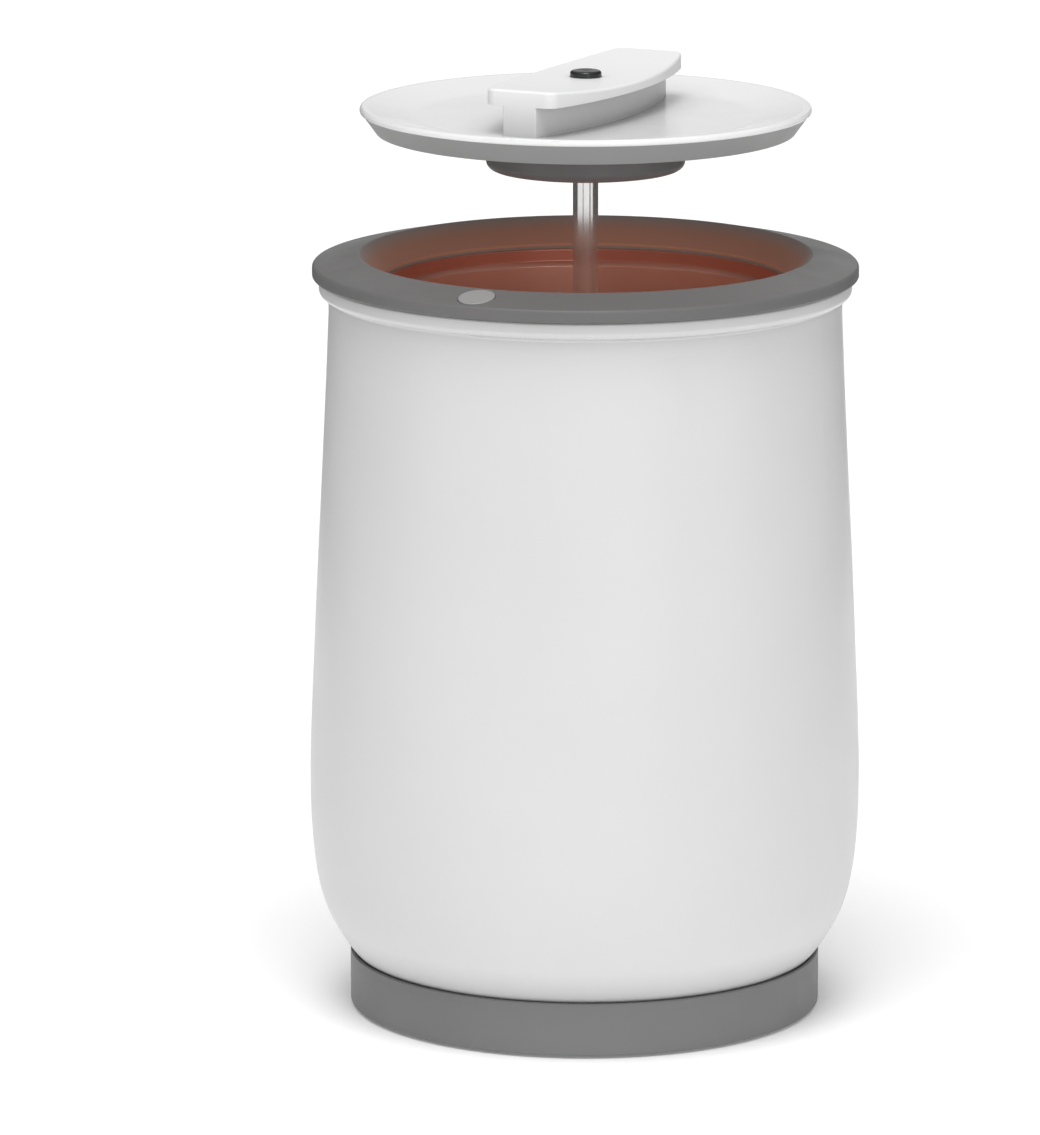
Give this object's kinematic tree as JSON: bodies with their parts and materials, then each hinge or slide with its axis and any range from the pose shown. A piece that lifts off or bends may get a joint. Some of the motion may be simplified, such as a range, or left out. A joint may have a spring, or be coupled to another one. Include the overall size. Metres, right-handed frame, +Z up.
{
  "type": "bucket towel warmer",
  "caption": "Tall round tub with a heated drum and a dished lid with a bow handle, raised on a central rod that slides in a guide tube.",
  "frame": {"origin": "on the floor under the tub's axis, level with the soles of the rubber feet", "axes": "+Z up along the tub and the rod, -Y towards the front with the power button, +X to the right seen from the front"},
  "size_m": [0.3043, 0.3044, 0.5235],
  "materials": {
    "housing_white": "smooth satin-gloss white",
    "base_grey": "fine matte grey",
    "rim_grey": "satin dark grey",
    "button_grey": "satin light grey",
    "drum_metal": "copper-brown coated metal",
    "rod_chrome": "polished",
    "tube_steel": "brushed",
    "lid_white": "glossy white",
    "lid_grey": "satin grey",
    "handle_white": "satin-gloss white",
    "tray_dark": "satin charcoal",
    "knob_dark": "semi-gloss near black",
    "felt": "pressed felt",
    "foot_rubber": "matte black",
    "silicone": "red-brown silicone",
    "gasket_grey": "matte grey silicone",
    "screw_steel": "zinc-plated",
    "brass": "plain",
    "black_plastic": "matte black",
    "board_green": "solder mask green",
    "cable_black": "matte black",
    "cable_white": "matte white"
  },
  "bodies": {
    "base": {"outer_housing": "housing_white", "base_ring": "base_grey", "bottom_cover": "base_grey", "base_feet": "foot_rubber", "bottom_screws": "screw_steel", "housing_screws": "screw_steel", "drum_support": "black_plastic", "rim_ring": "rim_grey", "inner_drum": "drum_metal", "drum_gasket": "gasket_grey", "drum_screws": "screw_steel", "side_heater": "silicone", "bottom_heater": "silicone", "insulation_wrap": "felt", "bottom_insulation": "felt", "thermostat": "black_plastic", "thermal_fuse": "cable_white", "power_board": "board_green", "board_screws": "screw_steel", "transformer": "black_plastic", "relay": "black_plastic", "capacitor": "black_plastic", "terminal_block": "board_green", "cord_gland": "black_plastic", "gland_nut": "black_plastic", "mains_lead_inner": "cable_black", "heater_lead": "cable_white", "control_cable": "cable_white", "control_board": "board_green", "tact_switch": "black_plastic", "guide_tube": "tube_steel", "guide_nut": "screw_steel", "guide_bush": "tray_dark"},
    "power_button": {"power_button": "button_grey"},
    "lift_rod": {"lift_rod": "rod_chrome", "grip_collet": "brass", "rod_collar": "rod_chrome", "rod_circlip": "screw_steel"},
    "lid": {"lid_lower_shell": "lid_grey", "lid_top_shell": "lid_white", "lid_insulation": "felt", "lid_screws": "screw_steel", "handle_screws": "screw_steel", "lid_hub": "brass", "hub_nut": "screw_steel", "handle": "handle_white", "release_spring": "screw_steel"},
    "release_button": {"release_button": "knob_dark", "push_rod": "tube_steel", "release_cone": "brass"},
    "aroma_tray": {"aroma_tray": "tray_dark", "aroma_pad": "felt"}
  },
  "joints": [
    {"name": "lid_lift", "type": "slide", "parent": "base", "child": "lift_rod", "axis": [0, 0, 1], "range_m": [-0.0775, 0.06]},
    {"name": "lid_swivel", "type": "hinge", "parent": "lift_rod", "child": "lid", "pos_m": [0, 0, 0.49], "axis": [0, 0, 1], "continuous": true},
    {"name": "release_press", "type": "slide", "parent": "lid", "child": "release_button", "axis": [0, 0, -1], "range_m": [0, 0.0025], "stiffness_N_per_m": 900, "springref_m": -0.002, "deforming": ["release_spring"]},
    {"name": "tray_twist", "type": "hinge", "parent": "lid", "child": "aroma_tray", "pos_m": [0, 0, 0.48], "axis": [0, 0, 1], "range_deg": [0, 30]},
    {"name": "power_press", "type": "slide", "parent": "base", "child": "power_button", "axis": [0, 0.2125, -0.9772], "range_m": [0, 0.0012], "stiffness_N_per_m": 600, "springref_m": -0.001}
  ]
}
